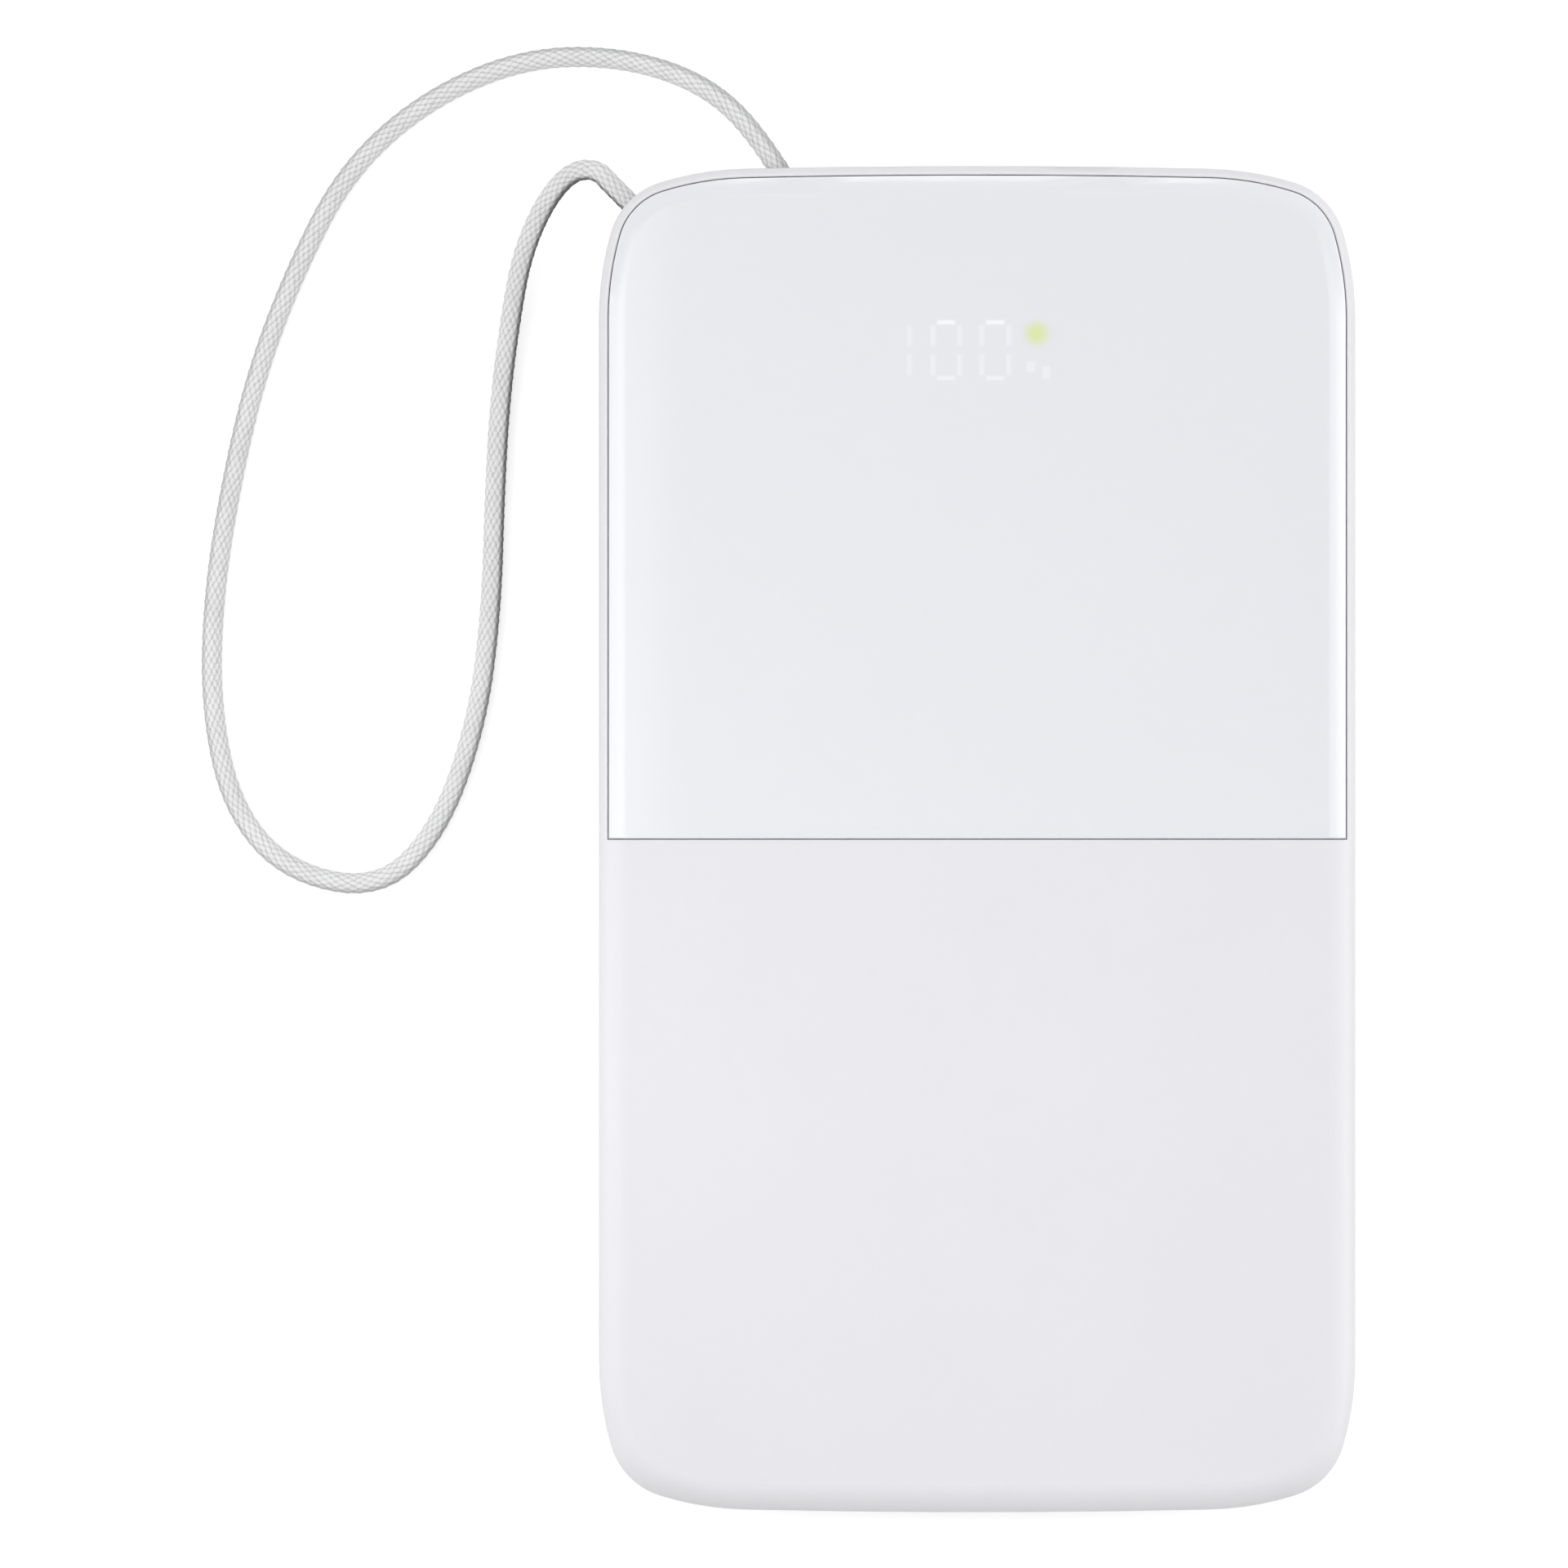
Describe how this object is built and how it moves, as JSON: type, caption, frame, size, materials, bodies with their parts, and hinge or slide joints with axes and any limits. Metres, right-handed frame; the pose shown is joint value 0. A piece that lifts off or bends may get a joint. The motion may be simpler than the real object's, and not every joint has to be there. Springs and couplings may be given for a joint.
{
  "type": "power bank",
  "caption": "Slim rectangular power bank with an inlaid glossy display panel, a side key, two USB sockets and a wrist lanyard.",
  "frame": {"origin": "centre of the back face, which the power bank lies on", "axes": "+X across the case towards the side key, +Y along it towards the end with the sockets, +Z out of the front face with the display"},
  "size_m": [0.1046, 0.1327, 0.0164],
  "materials": {
    "shell_plastic": "fine-textured white moulded plastic",
    "panel_gloss": "polished white plastic",
    "key_plastic": "fine-textured white moulded plastic",
    "adhesive_film": "translucent double-sided tape",
    "pouch_foil": "laminated aluminium pouch film",
    "nickel_strip": "nickel strip",
    "amber_tape": "amber polyimide tape",
    "grey_foam": "closed-cell foam",
    "board_laminate": "green solder mask on glass laminate",
    "screw_steel": "zinc-plated steel",
    "ferrite_grey": "pressed ferrite powder",
    "chip_black": "moulded epoxy",
    "can_aluminium": "drawn aluminium can",
    "ceramic_tan": "fired ceramic",
    "resistor_black": "glazed ceramic chip",
    "bead_epoxy": "dipped epoxy bead",
    "port_steel": "nickel-plated steel sheet",
    "port_white": "white nylon",
    "port_black": "black nylon",
    "contact_gold": "gold-plated bronze",
    "reflector_white": "white filled plastic",
    "segment_resin": "cast clear resin",
    "lamp_green": "tinted cast resin",
    "pin_tin": "tinned steel pin",
    "gasket_foam": "black light-blocking foam",
    "switch_black": "black moulded plastic",
    "dome_steel": "spring steel",
    "cord_braid": "braided polyester",
    "ferrule_metal": "crimped aluminium"
  },
  "bodies": {
    "case": {"front_shell": "shell_plastic", "back_shell": "shell_plastic", "display_cover": "panel_gloss", "cover_adhesive": "adhesive_film", "battery_cell": "pouch_foil", "cell_tab_positive": "nickel_strip", "cell_tab_negative": "nickel_strip", "terrace_tape": "amber_tape", "cell_back_foam": "grey_foam", "cell_front_foam": "grey_foam", "main_board": "board_laminate", "case_screws": "screw_steel", "board_screws": "screw_steel", "power_inductor": "ferrite_grey", "charge_controller": "chip_black", "power_mosfets": "chip_black", "bulk_capacitors": "can_aluminium", "ceramic_capacitors": "ceramic_tan", "chip_resistors": "resistor_black", "thermistor": "bead_epoxy", "usb_a_shell": "port_steel", "usb_a_tongue": "port_white", "usb_a_contacts": "contact_gold", "usb_c_shell": "port_steel", "usb_c_tongue": "port_black", "usb_c_contacts": "contact_gold", "display_body": "reflector_white", "display_segments": "segment_resin", "charging_light": "lamp_green", "display_pins": "pin_tin", "display_gasket": "gasket_foam", "switch_body": "switch_black", "switch_dome": "dome_steel", "lanyard_cord": "cord_braid", "lanyard_ferrule_end": "ferrule_metal", "lanyard_ferrule_corner": "ferrule_metal"},
    "key": {"power_button": "key_plastic"},
    "plunger": {"switch_plunger": "switch_black"}
  },
  "joints": [
    {"name": "power_button_press", "type": "slide", "parent": "case", "child": "key", "axis": [-1, 0, 0], "range_m": [0, 0.00025], "stiffness_N_per_m": 2000},
    {"name": "switch_plunger_press", "type": "slide", "parent": "case", "child": "plunger", "axis": [-1, 0, 0], "range_m": [0, 0.00025], "deforming": ["switch_dome"]}
  ],
  "couplings": [
    {"joint": "switch_plunger_press", "follows": "power_button_press", "ratio": 1}
  ]
}
